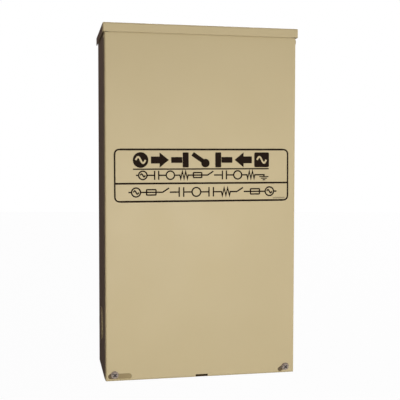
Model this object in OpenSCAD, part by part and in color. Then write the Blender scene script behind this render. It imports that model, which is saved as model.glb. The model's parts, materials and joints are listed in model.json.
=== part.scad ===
// Wall-mounted automatic transfer switch in a rain-tight sheet-metal enclosure.
// Frame: X to the right, Y towards the wall, Z up. The origin is the centre of the
// four wall bolts on the back face, so the front cover faces -Y. Millimetres.

/* [Enclosure] */
// Height from the cover's bottom edge to the top of the drip cap
total_h = 610; // [600:1:640]
// Width of the front cover
cover_w = 336; // [334:1:350]
// Depth from the back face to the face of the cover
body_d = 158; // [156:1:175]
// Thickness of the enclosure steel
sheet_t = 1.5; // [1.5:0.1:1.6]
// Outside radius of every sheet bend
bend_r = 3; // [2.5:0.5:3]
// Side gap between the cover's flange and the box wall
cover_gap = 1; // [0.8:0.1:1.2]
// Depth of the cover's side and bottom flanges
cover_flange_d = 15; // [13:1:16]
// Wall bolt spacing across
bolt_dx = 266.7; // [260:0.1:270]
// Wall bolt spacing up and down
bolt_dz = 540; // [500:1:545]
// Radius of the wall bolt holes
bolt_r = 3.75; // [3:0.25:4]

/* [Drip cap] */
// Height of the drip cap's lip and skirts
cap_lip_h = 15.5; // [15:0.5:18]
// Overhang of the cap beyond each side of the cover
cap_side = 3; // [3:0.5:6]
// Overhang of the cap in front of the cover
cap_front = 4.1; // [4.1:0.1:8]

/* [Cover fastening] */
// Distance of each cover screw from the centre line
screw_x = 152; // [151:0.5:153]
// Height of the cover screws above the cover's bottom edge
screw_up = 11.2; // [11:0.1:13]
// Width of the padlock notch
notch_w = 21.7; // [21:0.1:24]
// Height of the padlock notch
notch_h = 4.8; // [4.8:0.1:6]
// Radius of the padlock eye
eye_r = 4.75; // [4:0.25:5]

/* [Transfer mechanism] */
// Distance of the shaft's axis in front of the back face
shaft_out = 40; // [40:0.5:41]
// Radius of the shaft
shaft_r = 7; // [6.5:0.5:7]
// Swing of the contact arms to each side of straight ahead, degrees
throw = 23; // [22:0.5:23.5]
// Length of a contact arm from the shaft's axis
arm_len = 52; // [50:1:52]
// Radius of the drive pin about the shaft's axis
crank_r = 24; // [23.5:0.25:24.5]
// Radius of the cable holes in the phase lugs
lug_bore_r = 8.5; // [7:0.5:9]
// Radius of the large cable holes in the neutral bar
neutral_bore_r = 7.5; // [6:0.5:7.5]

/* [Knockouts] */
// Radius of the outer ring of the large knockouts, 2 inch trade size
ko_r = 31.35; // [25:0.05:32]
// Height of the side knockouts above the cover's bottom edge
ko_up = 85; // [70:1:95]

/* [Hidden] */
$fn = 48;

TAN = [0.76, 0.70, 0.54];
ZINC = [0.75, 0.76, 0.78];
STEEL = [0.6, 0.6, 0.62];
COPPER = [0.8, 0.48, 0.3];
ALLOY = [0.8, 0.81, 0.83];
BLACK = [0.1, 0.1, 0.11];

big = 1000;
slack = 0.01;

// Enclosure heights and planes
z_low = -total_h / 2 + 5;
z_top = z_low + total_h;
z_lip = z_top - cap_lip_h;
z_box = z_low + 5;
y_front = -body_d;
y_flange = y_front + 3;
wall_x = cover_w / 2 - sheet_t - cover_gap;
inner_x = wall_x - sheet_t;
screw_z = z_low + screw_up;

// Behind the cover the side walls step out, flush with the cover's flanges
side_x = cover_w / 2;
side_in = side_x - sheet_t;
step_y = y_front + cover_flange_d + 3;

// The cover hangs on two rivets just behind its face and just under the drip lip
pivot_y = y_front + 6;
pivot_z = z_lip - 7;
pivot_r = 2.5;
tongue_x = 160;
z_shoulder = z_lip - 0.2;
z_tongue = z_lip + 11;

// Switch mechanism
plate_y = -12;
plate_front = plate_y - 2;
shaft_y = -shaft_out;
shaft_z = 45;
pole_x = [19.5, 75];
drive_x = -54;
cheek_x = [[-92, -90], [-20, -18]];
floor_front = -27;
seat_y = -71;
bar_t = 3;
pin_z = shaft_z + crank_r * sin(throw);
pin_y = shaft_y - crank_r * cos(throw);
core_y = -63;
core_r = 7;
coil_gap = 42;
coil_len = 52;
lug_h = 36;
lug_w = 26;
lug_d = 28;
lug_end = 103;
load_lug_z = -104;
socket_x = -108.5;
handle_x = -146;
handle_y = -22;

// ---------- helpers ----------

module block(xs, ys, zs) {
    translate([xs[0], ys[0], zs[0]])
        cube([xs[1] - xs[0], ys[1] - ys[0], zs[1] - zs[0]]);
}

module x_rod(r, xs, y, z) {
    translate([xs[0], y, z]) rotate([0, 90, 0]) cylinder(r = r, h = xs[1] - xs[0]);
}

module y_rod(r, x, ys, z) {
    translate([x, ys[1], z]) rotate([90, 0, 0]) cylinder(r = r, h = ys[1] - ys[0]);
}

module z_rod(r, x, y, zs) {
    translate([x, y, zs[0]]) cylinder(r = r, h = zs[1] - zs[0]);
}

// Puts geometry drawn about the shaft's axis in place, turned by a degrees
module at_shaft(a = 0) {
    translate([0, shaft_y, shaft_z]) rotate([a, 0, 0]) children();
}

// Repeats upper, utility-side geometry on the generator side
module both_sides() {
    children();
    other_side() children();
}

module other_side() {
    translate([0, 0, 2 * shaft_z]) mirror([0, 0, 1]) children();
}

module left_and_right() {
    children();
    mirror([1, 0, 0]) children();
}

// Rectangle from the origin with its two corners at the far end of Y rounded
module tab_2d(w, h, r) {
    translate([-w / 2, 0]) square([w, h - r]);
    translate([-w / 2 + r, 0]) square([w - 2 * r, h]);
    for (s = [-1, 1]) translate([s * (w / 2 - r), h - r]) circle(r);
}

// Rectangle from the origin with one rounded corner, at its far X and far Y
module corner_2d(w, h, r) {
    square([w, h - r]);
    square([w - r, h]);
    translate([w - r, h - r]) circle(r);
}

module obround_2d(length, width) {
    square([length - width, width], center = true);
    for (s = [-1, 1]) translate([s * (length - width) / 2, 0]) circle(d = width);
}

// Closed at its front (-Y) and top, folded with radius r at all five edges
module folded_block(w, d, h, r) {
    intersection() {
        mirror([0, 1, 0]) linear_extrude(h) tab_2d(w, d, r);
        rotate([90, 0, 0]) linear_extrude(2 * d, center = true) tab_2d(w, h, r);
        rotate([90, 0, -90]) linear_extrude(2 * w, center = true) corner_2d(d, h, r);
    }
}

// Folded sheet tray of depth d and height h: front face, top and two sides
module folded_tray(w, d, h, r, t) {
    difference() {
        folded_block(w, d, h, r);
        translate([0, slack, -slack])
            folded_block(w - 2 * t, d - t + slack, h - t + slack, r - t);
    }
}

module quarter_ring_2d(r, t) {
    intersection() {
        difference() {
            circle(r);
            circle(r - t);
        }
        square(r);
    }
}

module knockout_cut(depth) {
    for (r = [ko_r, ko_r * 0.79, ko_r * 0.6])
        difference() {
            cylinder(r = r, h = 2 * depth, center = true);
            cylinder(r = r - 0.9, h = 3 * depth, center = true);
        }
}

module hex_prism(across, h) {
    cylinder(d = across / cos(30), h = h, $fn = 6);
}

module for_poles() {
    for (x = pole_x) translate([x, 0, 0]) children();
}

// ---------- enclosure ----------

module shell_rear_2d() {
    translate([0, -sheet_t]) square([side_x - bend_r, sheet_t]);
    translate([side_x - bend_r, -bend_r]) quarter_ring_2d(bend_r, sheet_t);
    translate([side_in, step_y]) square([sheet_t, -bend_r - step_y]);
}

module shell_front_2d() {
    square_end = -y_flange - bend_r;
    translate([inner_x, step_y]) square([side_x - inner_x, sheet_t]);
    translate([inner_x, -square_end]) square([sheet_t, square_end + step_y + slack]);
    translate([wall_x - bend_r, -square_end]) mirror([0, 1]) quarter_ring_2d(bend_r, sheet_t);
    translate([wall_x - 16, y_flange]) square([16 - bend_r, sheet_t]);
}

module back_shell() {
    color(TAN) difference() {
        union() {
            translate([0, 0, z_low]) linear_extrude(z_top - sheet_t - z_low) {
                shell_rear_2d();
                mirror([1, 0]) shell_rear_2d();
            }
            translate([0, 0, z_box]) linear_extrude(z_top - sheet_t - z_box) {
                shell_front_2d();
                mirror([1, 0]) shell_front_2d();
            }
        }
        for (x = [-1, 1], z = [-1, 1])
            y_rod(bolt_r, x * bolt_dx / 2, [-5, 5], z * bolt_dz / 2);
        left_and_right() {
            x_rod(pivot_r, [inner_x - 5, wall_x + 5], pivot_y, pivot_z);
            y_rod(4.2, screw_x, [y_flange - 5, y_flange + 5], screw_z);
            translate([side_x, -73, z_low + ko_up]) rotate([0, 90, 0]) knockout_cut(0.7);
            block([wall_x - 20, inner_x], [y_front, pivot_y + 1], [pivot_z - 9, big]);
            block([wall_x - 20, wall_x + 1], [y_front, y_flange + sheet_t], [pivot_z + 2.5, big]);
            block([wall_x - 20, wall_x + 1], [y_front, pivot_y + 7.5], [pivot_z + 4, big]);
        }
        translate([0, 0, z_low + 60]) rotate([90, 0, 0]) knockout_cut(0.7);
    }
}

module bottom_end_wall() {
    y_bend = y_flange + bend_r;
    color(TAN) difference() {
        union() {
            block([-inner_x, inner_x], [y_bend, -2 * sheet_t], [z_box, z_box + sheet_t]);
            block([-side_in, side_in], [step_y + sheet_t, -bend_r], [z_box, z_box + sheet_t]);
            block([-side_x + bend_r, side_x - bend_r], [-5, -sheet_t], [z_box, z_box + sheet_t]);
            block([-147.5, 147.5], [y_flange, y_flange + sheet_t], [z_box + bend_r, z_box + 20]);
            translate([-147.5, y_bend, z_box + bend_r]) rotate([90, 0, 90]) linear_extrude(295)
                rotate(180) quarter_ring_2d(bend_r, sheet_t);
            left_and_right()
                block([side_in - sheet_t, side_in], [step_y + sheet_t, -5], [z_box, z_box + 12]);
            block([-155, 155], [-2 * sheet_t, -sheet_t], [z_box, z_box + 12]);
        }
        left_and_right() block([143, wall_x], [y_front, y_bend + 7], [z_box - 1, z_box + 5]);
        left_and_right() translate([95, -78, z_box]) knockout_cut(0.7);
    }
}

module drip_cap() {
    cap_d = body_d + cap_front;
    color(TAN) translate([0, 0, z_lip])
        folded_tray(cover_w + 2 * cap_side, cap_d, cap_lip_h, bend_r, sheet_t);
}

// Shallow pressings around the two cover screws, between two depths
module dimples(ys) {
    translate([0, ys[1], z_low]) rotate([90, 0, 0]) linear_extrude(ys[1] - ys[0]) {
        translate([-143.2, 7.8]) obround_2d(40.8, 10.5);
        translate([148.5, 10]) rotate(28) obround_2d(22, 8);
    }
}

module front_cover() {
    h = z_shoulder - z_low;
    color(TAN) difference() {
        union() {
            translate([0, y_front + cover_flange_d, z_shoulder]) mirror([0, 0, 1])
                folded_tray(cover_w, cover_flange_d, h, bend_r, sheet_t);
            block([-tongue_x, tongue_x], [y_front, y_front + sheet_t],
                  [z_shoulder - slack, z_tongue]);
            dimples([y_front + 1.4, y_front + 2.4]);
        }
        dimples([y_front - 5, y_front + 0.9]);
        left_and_right() {
            y_rod(3.2, screw_x, [y_front - 5, y_front + 10], screw_z);
            x_rod(pivot_r + 0.05, [wall_x, wall_x + 10], pivot_y, pivot_z);
        }
        block([-notch_w / 2, notch_w / 2], [y_front - 1, y_front + 3.5],
              [z_low - 1, z_low + notch_h]);
    }
}

module hinge_rivets() {
    color(TAN) left_and_right() {
        x_rod(pivot_r, [inner_x - 1.5, side_x + 0.4], pivot_y, pivot_z);
        x_rod(4, [inner_x - 1.5, inner_x], pivot_y, pivot_z);
        x_rod(4.5, [side_x + 0.1, side_x + 0.6], pivot_y, pivot_z);
    }
}

module clinch_nuts() {
    color(ZINC) left_and_right() difference() {
        y_rod(6.5, screw_x, [y_flange + sheet_t, y_flange + 6.5], screw_z);
        y_rod(3.7, screw_x, [y_flange, y_flange + 8], screw_z);
    }
}

module cover_screw(side) {
    face = y_front;
    color(ZINC) translate([side * screw_x, 0, screw_z]) difference() {
        union() {
            y_rod(6.5, 0, [face - 1.2, face], 0);
            translate([0, face - 1.2, 0]) rotate([90, 0, 0]) hex_prism(9.5, 2.9);
            y_rod(3.1, 0, [face - 0.5, face + 14], 0);
        }
        for (a = [0, 90])
            rotate([0, a + 45, 0]) block([-3.8, 3.8], [face - 6, face - 2], [-1, 1]);
    }
}

module cover_screw_left() {
    cover_screw(-1);
}

module cover_screw_right() {
    cover_screw(1);
}

module padlock_hasp() {
    tip = y_front + 14;
    zs = [z_low + 2, z_low + 4];
    color(BLACK) difference() {
        union() {
            block([-10, 10], [tip + 5, -52], zs);
            for (x = [-5, 5]) z_rod(5, x, tip + 5, zs);
            block([-5, 5], [tip, tip + 6], zs);
            block([-13, 13], [-65.7, -52], zs);
        }
        z_rod(eye_r, 0, tip + 8, [z_low, z_low + 6]);
    }
}

module hasp_guide() {
    color(TAN) left_and_right() {
        block([0, 12], [-130, -100], [z_low + 0.5, z_low + 1.7]);
        block([10.5, 12], [-130, -100], [z_low + 0.5, z_box]);
        block([10.5, 20], [-130, -100], [z_box - 1.2, z_box]);
    }
}

// ---------- back plate ----------

module at_studs() {
    for (x = [-116, 116], z = [-176, 191]) translate([x, 0, z]) children();
}

module mounting_subplate() {
    color(ZINC) difference() {
        union() {
            block([-125, 125], [plate_front, plate_y], [-177, 192]);
            block([-117, 117], [plate_front, plate_y], [-185, 200]);
            for (x = [-117, 117], z = [-177, 192]) y_rod(8, x, [plate_front, plate_y], z);
        }
        at_studs() y_rod(3.2, 0, [-20, 0], 0);
        at_base_screws() y_rod(2.5, 0, [-20, 0], 0);
        at_frame_screws() y_rod(2.1, 0, [-20, 0], 0);
    }
}

module subplate_studs() {
    color(ZINC) at_studs() {
        y_rod(3.1, 0, [-23, -sheet_t], 0);
        y_rod(6.5, 0, [plate_y, -sheet_t], 0);
    }
}

module subplate_nuts() {
    color(ZINC) at_studs() difference() {
        translate([0, plate_front, 0]) rotate([90, 0, 0]) hex_prism(11.1, 5.5);
        y_rod(3.15, 0, [-30, 0], 0);
    }
}

module at_base_screws() {
    for (x = [2, 93], z = [-115, 155]) translate([x, 0, z]) children();
}

module at_frame_screws() {
    for (x = [-99, -26], z = [-40, 130]) translate([x, 0, z]) children();
}

module pan_screw(head_r, head_h, shank_r, y, depth) {
    difference() {
        union() {
            y_rod(head_r, 0, [y - head_h, y], 0);
            y_rod(shank_r, 0, [y - slack, y + depth], 0);
        }
        block([-head_r, head_r], [y - head_h - 1, y - head_h + 1], [-0.5, 0.5]);
    }
}

module plate_screws() {
    color(ZINC) {
        at_base_screws() pan_screw(4.5, 3, 2.4, floor_front, 16);
        at_frame_screws() pan_screw(4, 2.5, 2, plate_front - 2, 5);
    }
}

// ---------- switch body ----------

module switch_base() {
    color(BLACK) difference() {
        union() {
            block([-10, 105], [floor_front, plate_front], [-120, 160]);
            for (x = [[-10, -6], [45, 49], [101, 105]]) {
                block(x, [-104, floor_front], [-60, 150]);
                block(x, [-62, floor_front], [-110, -60]);
            }
            both_sides() block([-10, 105], [seat_y, floor_front], [100, 150]);
        }
        at_base_screws() y_rod(2.5, 0, [-30, 0], 0);
        at_shaft() x_rod(shaft_r + 1, [-20, 120], 0, 0);
        for_poles() block([-7.2, 7.2], [floor_front - bar_t - 0.2, floor_front], [-70, 0]);
    }
}

module frame_cheek_cut() {
    at_shaft() x_rod(10, [-200, 0], 0, 0);
    both_sides() block([-200, 0], [-80, -48], [95, 131]);
    at_frame_screws() y_rod(2.1, 0, [-30, 0], 0);
}

module frame_cheeks() {
    color(ZINC) difference() {
        union() {
            for (x = cheek_x) block(x, [-92, plate_front], [-60, 150]);
            block([-106, -91], [plate_front - 2, plate_front], [-60, 150]);
            block([-33, -19], [plate_front - 2, plate_front], [-60, 150]);
        }
        frame_cheek_cut();
    }
}

module shaft_bushes() {
    color([0.72, 0.58, 0.3]) for (x = [-91, -19]) difference() {
        union() {
            at_shaft() x_rod(10, [x - 3, x + 4], 0, 0);
            at_shaft() x_rod(13, [x + 1, x + 2.5], 0, 0);
        }
        at_shaft() x_rod(shaft_r + 0.05, [x - 5, x + 5], 0, 0);
    }
}

module at_ring_grooves() {
    for (x = [-95.6, 105.6]) translate([x, 0, 0]) children();
}

module transfer_shaft() {
    color(STEEL) at_shaft() difference() {
        x_rod(shaft_r, [-114, 109], 0, 0);
        at_ring_grooves() difference() {
            x_rod(shaft_r + 2, [0, 1.2], 0, 0);
            x_rod(shaft_r - 1, [-1, 2], 0, 0);
        }
    }
}

module retaining_rings() {
    color(STEEL) at_shaft(-throw) at_ring_grooves() difference() {
        x_rod(shaft_r + 3.5, [0, 1.2], 0, 0);
        x_rod(shaft_r - 1, [-1, 2], 0, 0);
        block([-1, 2], [-20, 0], [-4.5, 4.5]);
    }
}

module contact_carriers() {
    color([0.45, 0.16, 0.1]) at_shaft(-throw) for_poles() difference() {
        union() {
            x_rod(11, [-12, 12], 0, 0);
            block([-9, 9], [-24, 0], [-6, 6]);
        }
        x_rod(shaft_r, [-20, 20], 0, 0);
        block([-6, 6], [-30, -shaft_r - 0.5], [-2, 2]);
    }
}

module contact_arms() {
    color(COPPER) at_shaft(-throw) for_poles() {
        block([-6, 6], [-arm_len + 6, -shaft_r - 1], [-2, 2]);
        intersection() {
            block([-6, 6], [-arm_len, -arm_len + 7], [-2, 2]);
            z_rod(6, 0, -arm_len + 6, [-3, 3]);
        }
    }
}

module contact_pad(zs) {
    block([-5, 5], [-arm_len + 2, -arm_len + 12], zs);
}

module moving_contacts() {
    color(ALLOY) at_shaft(-throw) for_poles() {
        contact_pad([2, 4]);
        contact_pad([-4, -2]);
    }
}

module fixed_contacts() {
    color(ALLOY) both_sides() at_shaft(-throw) for_poles() contact_pad([4.15, 6.4]);
}

module line_bar() {
    for_poles() {
        block([-7, 7], [seat_y - bar_t, seat_y], [shaft_z + 22, shaft_z + lug_end]);
        at_shaft(-throw) block([-7, 7], [-arm_len, -arm_len + 16], [6.4, 6.4 + bar_t]);
    }
}

module utility_bars() {
    color(COPPER) line_bar();
}

module generator_bars() {
    color(COPPER) other_side() line_bar();
}

module load_bars() {
    color(COPPER) for_poles()
        block([-7, 7], [floor_front - bar_t, floor_front], [load_lug_z, 20]);
}

// Cable lug with its hole along Z and its clamping screw at the front
module lug(back_y, zs) {
    z_mid = (zs[0] + zs[1]) / 2;
    difference() {
        block([-lug_w / 2, lug_w / 2], [back_y - lug_d, back_y], zs);
        z_rod(lug_bore_r, 0, back_y - lug_d / 2, [zs[0] - 1, zs[1] + 1]);
        y_rod(5, 0, [back_y - lug_d - 1, back_y - lug_d + 6], z_mid);
    }
}

lug_zs = [shaft_z + lug_end - lug_h, shaft_z + lug_end];
line_lug_y = seat_y - bar_t;
load_lug_y = floor_front - bar_t;
load_zs = [load_lug_z, load_lug_z + lug_h];

module utility_lugs() {
    color(ALLOY) for_poles() lug(line_lug_y, lug_zs);
}

module generator_lugs() {
    color(ALLOY) other_side() for_poles() lug(line_lug_y, lug_zs);
}

module load_lugs() {
    color(ALLOY) for_poles() lug(load_lug_y, load_zs);
}

module socket_screw(r, y, length, key) {
    difference() {
        y_rod(r, 0, [y - length, y], 0);
        translate([0, y - length + 4, 0]) rotate([90, 0, 0]) hex_prism(key, 6);
    }
}

module lug_screws() {
    tip = lug_d - 5.3;
    color(ZINC) for_poles() {
        both_sides() translate([0, line_lug_y - tip, (lug_zs[0] + lug_zs[1]) / 2])
            socket_screw(4.95, 0, 9, 5);
        translate([0, load_lug_y - tip, (load_zs[0] + load_zs[1]) / 2])
            socket_screw(4.95, 0, 9, 5);
    }
}

module arc_chute_cheeks() {
    color([0.55, 0.3, 0.2]) for_poles() left_and_right()
        block([20, 21.5], [-110, -64], [shaft_z - 17, shaft_z + 17]);
}

module splitter_plates() {
    color(STEEL) for_poles() for (i = [-2:2]) difference() {
        block([-20, 20], [-108, -66], [shaft_z + 6 * i - 0.6, shaft_z + 6 * i + 0.6]);
        block([-8.5, 8.5], [-96, 0], [shaft_z - 30, shaft_z + 30]);
    }
}

// ---------- drive ----------

module drive_lever() {
    color(STEEL) at_shaft(-throw) difference() {
        union() {
            x_rod(11, [drive_x - 6, drive_x + 6], 0, 0);
            block([drive_x - 3, drive_x + 3], [-crank_r, 0], [-5, 5]);
            x_rod(5, [drive_x - 3, drive_x + 3], -crank_r, 0);
        }
        x_rod(shaft_r, [drive_x - 10, drive_x + 10], 0, 0);
        x_rod(2.5, [drive_x - 10, drive_x + 10], -crank_r, 0);
    }
}

module drive_pin() {
    color(STEEL) at_shaft(-throw)
        x_rod(2.5, [drive_x - 11.5, drive_x + 11.5], -crank_r, 0);
}

lobe_r = 21.5;
lobe_a = 9.3;

module switch_cam() {
    color([0.9, 0.9, 0.86]) difference() {
        at_shaft() {
            x_rod(13, [-99.2, -96.4], 0, 0);
            for (a = [lobe_a, 180 - lobe_a - 2 * throw])
                rotate([a, 0, 0]) block([-99.2, -96.4], [-2.5, 2.5], [0, lobe_r]);
        }
        at_shaft() x_rod(shaft_r, [-110, -90], 0, 0);
    }
}

module handle_socket() {
    color(STEEL) at_shaft(-throw) difference() {
        union() {
            x_rod(13, [socket_x - 5.5, socket_x + 7], 0, 0);
            y_rod(8, socket_x, [-38, -8], 0);
        }
        x_rod(shaft_r, [-130, -90], 0, 0);
        y_rod(5.3, socket_x, [-40, -15], 0);
    }
}

module solenoid_plunger() {
    color(STEEL) difference() {
        union() {
            block([drive_x - 12, drive_x + 12], [-74, -54], [pin_z - 15, pin_z + 15]);
            z_rod(core_r, drive_x, core_y, [pin_z - 71.6, pin_z + 71.6]);
        }
        block([drive_x - 4.5, drive_x + 4.5], [-71.5, -40], [pin_z - 10, pin_z + 10]);
        for (y = [-64.5, -61.8]) x_rod(2.9, [drive_x - 20, drive_x + 20], y, pin_z);
        block([drive_x - 20, drive_x + 20], [-64.5, -61.8], [pin_z - 2.9, pin_z + 2.9]);
    }
}

coil_zs = [shaft_z + coil_gap, shaft_z + coil_gap + coil_len];

module coil_winding() {
    difference() {
        z_rod(22.5, drive_x, core_y, [coil_zs[0] + 2, coil_zs[1] - 2]);
        z_rod(10, drive_x, core_y, [0, big]);
    }
}

module utility_coil() {
    color([0.55, 0.12, 0.1]) coil_winding();
}

module generator_coil() {
    color([0.55, 0.12, 0.1]) other_side() coil_winding();
}

module coil_bobbins() {
    color([0.85, 0.83, 0.76]) both_sides() difference() {
        union() {
            z_rod(10, drive_x, core_y, coil_zs);
            for (z = [coil_zs[0], coil_zs[1] - 2]) z_rod(24, drive_x, core_y, [z, z + 2]);
        }
        z_rod(core_r + 0.6, drive_x, core_y, [0, big]);
    }
}

module coil_yokes() {
    xs = [cheek_x[0][1], cheek_x[1][0]];
    color(ZINC) both_sides() difference() {
        union() {
            block(xs, [-88, -35.5], [coil_zs[0] - 3, coil_zs[0]]);
            block(xs, [-88, -35.5], [coil_zs[1], coil_zs[1] + 3]);
            block(xs, [-38.5, -35.5], [coil_zs[0] - 3, coil_zs[1] + 3]);
            z_rod(core_r + 0.4, drive_x, core_y, [coil_zs[1] - 9, coil_zs[1]]);
        }
        z_rod(core_r + 1, drive_x, core_y, [coil_zs[0] - 10, coil_zs[0] + slack]);
    }
}

// ---------- position switches ----------

module switch_body() {
    block([-102, -92], [-52, -24], [shaft_z + 29, shaft_z + 45]);
    for (x = [[-102, -101], [-93, -92]])
        block(x, [-28.5, -24], [shaft_z + 25.5, shaft_z + 29]);
}

module limit_switches() {
    color(BLACK) difference() {
        both_sides() switch_body();
        both_sides() x_rod(1.05, [-103, -91], -26, shaft_z + 27.5);
    }
}

module switch_lever() {
    block([-100, -94], [-46, -26.5], [shaft_z + 26.4, shaft_z + 27]);
    x_rod(1, [-102, -92], -26, shaft_z + 27.5);
    block([-100, -94], [-27, -25], [shaft_z + 26.4, shaft_z + 28]);
    x_rod(2.4, [-100, -95.5], -44, shaft_z + 24.4);
    block([-100, -95.5], [-45.2, -42.8], [shaft_z + 25, shaft_z + 26.5]);
}

module utility_switch_lever() {
    color(STEEL) switch_lever();
}

released = 2 * throw * 0.1;

module generator_switch_lever() {
    color(STEEL) other_side()
        translate([0, -26, shaft_z + 27.5]) rotate([released, 0, 0])
            translate([0, 26, -shaft_z - 27.5]) switch_lever();
}

// ---------- controls ----------

module rectifiers() {
    color([0.16, 0.16, 0.17]) for (x = [-88, -50]) difference() {
        block([x, x + 28], [plate_front - 9, plate_front], [162, 190]);
        translate([x + 14, 0, 176]) y_rod(2.5, 0, [-40, plate_front - 6], 0);
        translate([x, plate_front - 9, 190]) rotate([0, 45, 0])
            cube([5, 30, 5], center = true);
    }
}

module relay_base() {
    color(BLACK) {
        block([-120, -90], [plate_front - 12, plate_front], [-168, -130]);
        block([-122, -88], [plate_front - 4, plate_front], [-155, -143]);
    }
}

module relay_coil() {
    color([0.75, 0.4, 0.2]) {
        y_rod(8.5, -105, [-60, -30], -150);
        y_rod(11, -105, [-30, -28.5], -150);
        y_rod(11, -105, [-61.5, -60], -150);
        y_rod(3, -105, [-28.5, plate_front - 12], -150);
    }
}

module relay_cover() {
    color([0.8, 0.85, 0.85, 0.4]) difference() {
        block([-118, -92], [-70, plate_front - 12], [-166, -132]);
        block([-116.8, -93.2], [-68.8, plate_front], [-164.8, -133.2]);
    }
}

fuse_x = [32, 59, 86];
fuse_y = -33;
fuse_zs = [-175, -137];
fuse_block_zs = [fuse_zs[0] - 4, fuse_zs[1] + 0.5];

module fuse_block() {
    color(BLACK) difference() {
        union() {
            block([14, 104], [plate_front - 8, plate_front], fuse_block_zs);
            for (x = fuse_x, z = [fuse_zs[0] + 4, fuse_zs[1] - 4])
                block([x - 9, x + 9], [fuse_y - 3, plate_front - 8], [z - 3, z + 3]);
            for (x = [14, 44.5, 71.5, 102])
                block([x, x + 2], [fuse_y - 7, plate_front - 8], fuse_block_zs);
        }
        for (x = fuse_x) {
            z_rod(5.3, x, fuse_y, [-200, 0]);
            block([x - 4, x + 4], [fuse_y - 10, fuse_y], [-200, 0]);
        }
    }
}

module fuses() {
    color([0.85, 0.8, 0.7]) for (x = fuse_x) {
        z_rod(4.9, x, fuse_y, [fuse_zs[0] + 9, fuse_zs[1] - 9]);
        for (z = [fuse_zs[0], fuse_zs[1] - 10]) z_rod(5.15, x, fuse_y, [z, z + 10]);
    }
}

strip_front = -30;
strip_n = 8;
strip_pitch = 10;

module terminal_strip() {
    color(BLACK) {
        block([-78, 2], [strip_front, plate_front], [-162, -136]);
        for (i = [0:strip_n])
            block([-78 + i * strip_pitch - (i == 0 ? 0 : i == strip_n ? 1.5 : 0.75),
                   -78 + i * strip_pitch + (i == 0 ? 1.5 : i == strip_n ? 0 : 0.75)],
                  [strip_front - 6, strip_front + 1], [-162, -136]);
    }
}

module terminal_screws() {
    color(ZINC) for (i = [0:strip_n - 1], z = [-155.5, -142.5])
        translate([-73 + i * strip_pitch, 0, z]) difference() {
            y_rod(3.1, 0, [strip_front - 2.6, strip_front], 0);
            block([-4, 4], [strip_front - 4, strip_front - 1.6], [-0.5, 0.5]);
        }
}

// ---------- neutral, ground, handle ----------

neutral_zs = [-234, -210];
neutral_big_x = [-48, -22, 4];
neutral_small_x = [24, 34, 44, 54];
neutral_y = -36;

module neutral_insulators() {
    color([0.6, 0.12, 0.1]) for (x = [-62, 62])
        y_rod(9, x * 0.82, [-26, -sheet_t], -222);
}

module neutral_bar() {
    color(ALLOY) difference() {
        block([-65, 65], [neutral_y - 10, neutral_y + 10], neutral_zs);
        for (x = neutral_big_x) {
            z_rod(neutral_bore_r, x, neutral_y, [-300, 0]);
            y_rod(5, x, [neutral_y - 20, neutral_y], -222);
        }
        for (x = neutral_small_x) {
            z_rod(3.2, x, neutral_y, [-300, 0]);
            y_rod(2.6, x, [neutral_y - 20, neutral_y], -222);
        }
    }
}

ground_x = [88, 96, 104, 112, 120, 128];

module ground_bar() {
    color(ALLOY) difference() {
        block([80, 136], [-13.5, -sheet_t], [-236, -224]);
        for (x = ground_x) {
            z_rod(2.6, x, -7.5, [-300, 0]);
            y_rod(2.1, x, [-20, -7.5], -230);
        }
    }
}

module bar_screws() {
    color(ZINC) {
        for (x = neutral_big_x) translate([x, neutral_y - neutral_bore_r - 0.3, -222])
            socket_screw(4.95, 0, 9, 5);
        for (x = neutral_small_x) translate([x, neutral_y - 3.5, -222])
            socket_screw(2.55, 0, 9, 2.5);
        for (x = ground_x) translate([x, -10.3, -230]) socket_screw(2.05, 0, 7, 2);
    }
}

module manual_handle() {
    color(ZINC) z_rod(5, handle_x, handle_y, [-150, 62]);
}

module handle_grip() {
    color([0.6, 0.1, 0.08]) {
        z_rod(8.5, handle_x, handle_y, [62, 142]);
        translate([handle_x, handle_y, 142]) difference() {
            sphere(8.5);
            translate([0, 0, -10]) cube(20, center = true);
        }
    }
}

module handle_clips() {
    color(BLACK) for (z = [-110, 30]) difference() {
        block([handle_x - 7, handle_x + 7], [handle_y - 7, -sheet_t], [z - 8, z + 8]);
        z_rod(5.3, handle_x, handle_y, [z - 20, z + 20]);
        block([handle_x - 5.3, handle_x + 5.3], [handle_y - 20, handle_y], [z - 20, z + 20]);
    }
}

// Control wiring: corner points of each wire's run
wire_r = 1.2;
wires = [
    [[-73, -20, -136], [-73, -20, -118], [-112, -20, -118], [-112, -20, 6], [-97, -20, 6],
     [-97, -24, 6]],
    [[-63, -24, -136], [-63, -24, -121], [-115, -24, -121], [-115, -24, 76], [-115, -20, 80],
     [-97, -20, 80], [-97, -24, 80]],
    [[-53, -28, -136], [-53, -28, -124], [-118, -28, -124], [-118, -28, 150], [-118, -20, 156],
     [-74, -20, 156], [-74, -20, 162]],
    [[2, -20, -150], [14, -20, -150]],
    [[-90, -20, -150], [-78, -20, -150]],
    [[-68, -20, 162], [-68, -20, 158], [-68, -24, 151], [-68, -60, 147], [-68, -60, 142]],
    [[-43, -26, -136], [-43, -26, -72], [-43, -60, -58], [-43, -60, -52]],
    [[-35, -26, -136], [-35, -26, -68], [-35, -52, -58], [-35, -52, -52]]
];

function unit(v) = v / norm(v);

// Normal of the plane that halves the bend at point i
function bend_normal(w, i) =
    let (before = i > 0 ? unit(w[i] - w[i - 1]) : [0, 0, 0],
         after = i < len(w) - 1 ? unit(w[i + 1] - w[i]) : [0, 0, 0])
    unit(before + after);

// Each ring is the one before it, carried along the wire to the next bend's plane
function wire_rings(w, i, ring) = i == len(w) - 1 ? [ring] :
    let (d = w[i + 1] - w[i], n = bend_normal(w, i + 1))
    concat([ring], wire_rings(w, i + 1, [for (p = ring) p + d * ((w[i + 1] - p) * n) / (d * n)]));

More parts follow.
